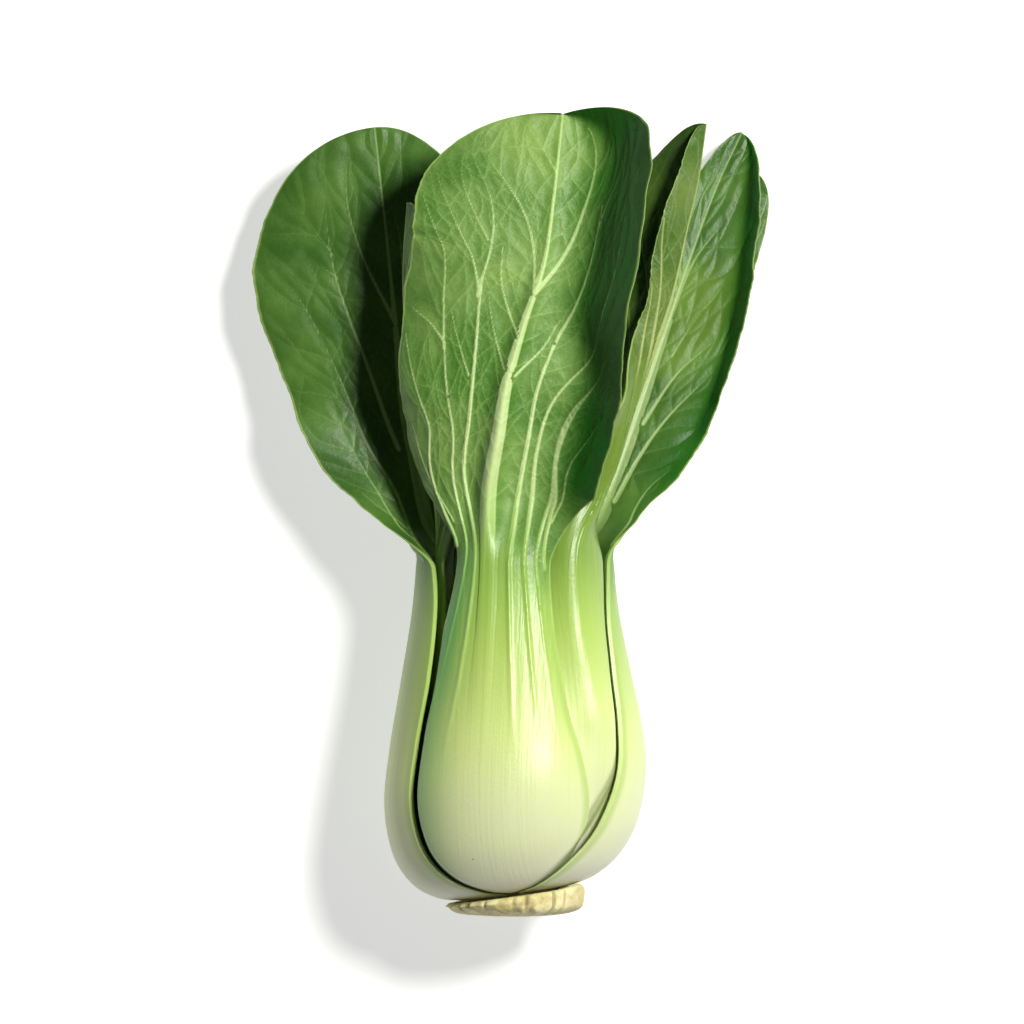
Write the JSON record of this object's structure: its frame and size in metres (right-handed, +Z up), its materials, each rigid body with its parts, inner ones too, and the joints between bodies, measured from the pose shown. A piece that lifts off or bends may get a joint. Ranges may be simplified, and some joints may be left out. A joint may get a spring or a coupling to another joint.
{
  "type": "bok choy",
  "caption": "Head of green-stemmed bok choy lying on its side: a trimmed root, thick pale stalks wrapped into a bulb, and broad dark blades with pale ribs.",
  "frame": {"origin": "on the floor, under the middle of the head's bounding box", "axes": "+Y from the cut root to the leaf tips, +X to the right of the head seen from above, +Z up"},
  "size_m": [0.127, 0.1972, 0.0765],
  "materials": {
    "leaf": "satin",
    "root": "matte"
  },
  "bodies": {
    "root": {"root": "root", "left_outer_leaf": "leaf", "right_outer_leaf": "leaf", "front_leaf": "leaf", "back_leaf": "leaf", "folded_leaf": "leaf", "left_inner_leaf": "leaf", "right_back_leaf": "leaf", "front_inner_leaf": "leaf", "back_inner_leaf": "leaf", "heart_leaf_right": "leaf", "heart_leaf_left": "leaf"}
  },
  "joints": []
}
